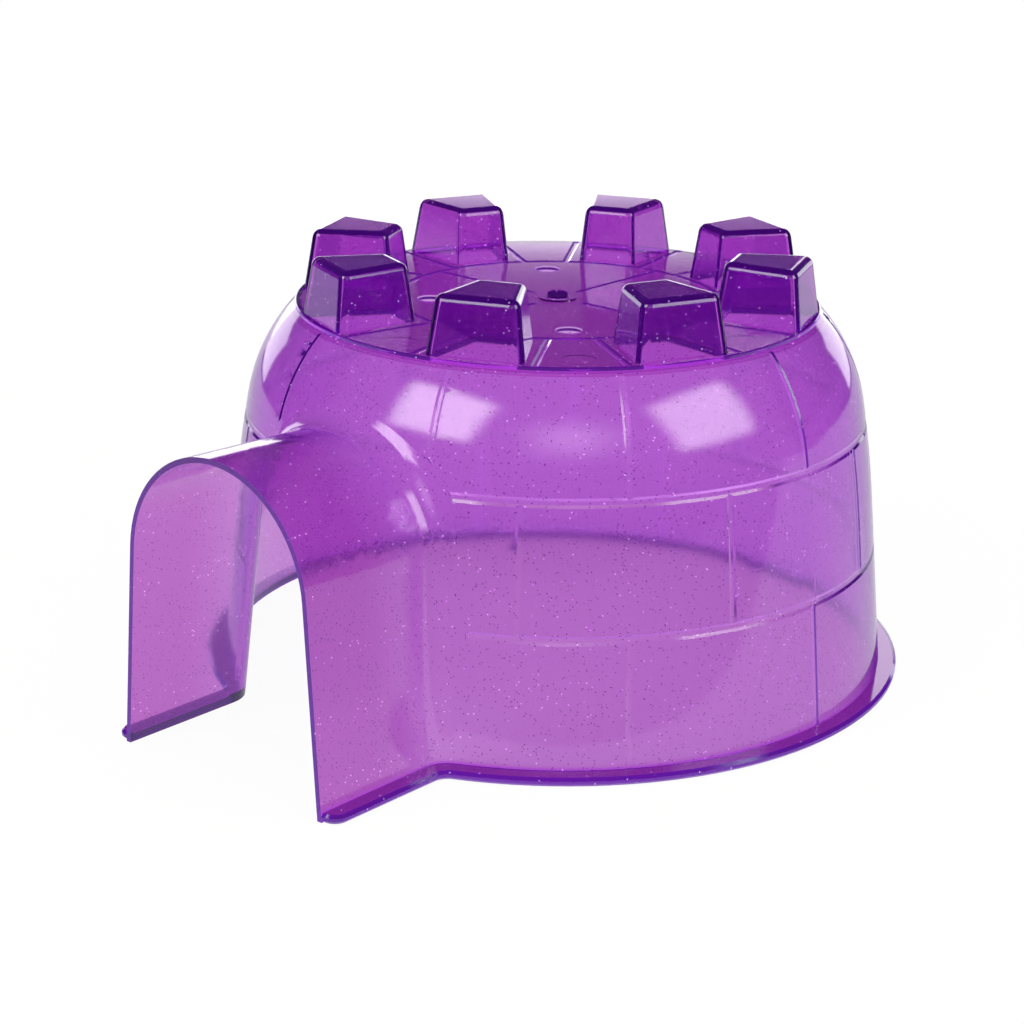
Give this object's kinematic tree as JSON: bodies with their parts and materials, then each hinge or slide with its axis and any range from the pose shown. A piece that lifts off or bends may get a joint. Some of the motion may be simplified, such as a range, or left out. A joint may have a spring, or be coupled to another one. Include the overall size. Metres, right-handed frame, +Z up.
{
  "type": "rodent igloo",
  "caption": "Translucent one-piece rodent hideout: a domed igloo with an arched entrance tunnel, castle-style top, vent holes and a foot flange.",
  "frame": {"origin": "centre of the bounding box at the floor", "axes": "+Z up from the floor, -Y out of the tunnel's mouth, +X to the right for someone facing along +Y"},
  "size_m": [0.2416, 0.2782, 0.1444],
  "materials": {
    "tinted_clear_plastic": "gloss, see-through tint with fine flecks, as moulded"
  },
  "bodies": {
    "root": {"igloo_shell": "tinted_clear_plastic"}
  },
  "joints": []
}
